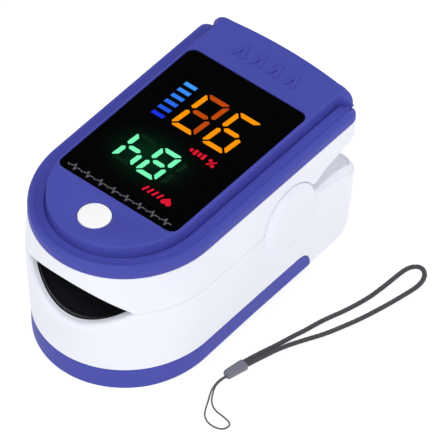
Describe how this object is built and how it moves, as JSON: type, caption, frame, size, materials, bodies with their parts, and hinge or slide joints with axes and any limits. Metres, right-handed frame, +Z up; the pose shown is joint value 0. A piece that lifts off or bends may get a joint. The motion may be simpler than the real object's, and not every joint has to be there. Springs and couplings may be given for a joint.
{
  "type": "fingertip pulse oximeter",
  "caption": "Fingertip clip meter with a dark display window, a round power button, sprung hinged jaws, a battery door and a loose wrist lanyard.",
  "frame": {"origin": "centre of the underside of the closed device, lanyard left out", "axes": "+Z up, -Y towards the finger opening, +Y towards the squeeze end, +X to the side the lanyard lies at"},
  "size_m": [0.051, 0.0583, 0.0312],
  "materials": {
    "white_case": "fine satin moulding",
    "blue_case": "matte moulding",
    "window": "polished tinted acrylic",
    "display": "epoxy face with lit segments",
    "button": "satin",
    "black_resin": "moulded resin",
    "nickel": "plated",
    "board": "solder mask",
    "rubber": "matte silicone",
    "lens": "clear resin",
    "cell": "printed jacket",
    "steel": "bright",
    "film": "flexible film",
    "cord": "braided",
    "sleeve": "satin"
  },
  "bodies": {
    "lower_jaw": {"lower_shell": "white_case", "inner_frame": "white_case", "lower_pad": "rubber", "sensor_board": "board", "photodiode": "lens", "battery_right": "cell", "battery_left": "cell", "hinge_shaft": "steel", "torsion_spring_right": "steel", "torsion_spring_left": "steel", "ribbon_cable": "film", "contact_spring_front": "steel", "contact_plate_front": "steel", "contact_bridge_rear": "steel", "lanyard_wrist_loop": "cord", "lanyard_string_loop": "cord", "lanyard_sleeve": "sleeve"},
    "upper_jaw": {"upper_shell": "white_case", "top_cover": "blue_case", "display_window": "window", "display_module": "display", "switch_body": "nickel", "main_board": "board", "controller_chip": "black_resin", "upper_pad": "rubber", "emitter_board": "board", "led_emitter": "lens", "case_screw_right": "steel", "case_screw_left": "steel"},
    "power_button": {"power_button": "button", "switch_plunger": "black_resin"},
    "battery_cover": {"battery_cover": "blue_case"}
  },
  "joints": [
    {"name": "jaw_hinge", "type": "hinge", "parent": "lower_jaw", "child": "upper_jaw", "pos_m": [0, 0.009, 0.0176], "axis": [-1, 0, 0], "range_deg": [0, 16], "stiffness_Nm_per_rad": 0.08, "springref_deg": -22.92, "deforming": ["torsion_spring_right", "torsion_spring_left", "ribbon_cable"]},
    {"name": "button_press", "type": "slide", "parent": "upper_jaw", "child": "power_button", "axis": [0, 0, -1], "range_m": [0, 0.0004], "stiffness_N_per_m": 3000, "springref_m": -0.0002},
    {"name": "battery_cover_slide", "type": "slide", "parent": "lower_jaw", "child": "battery_cover", "axis": [0, -1, 0], "range_m": [0, 0.06]}
  ]
}
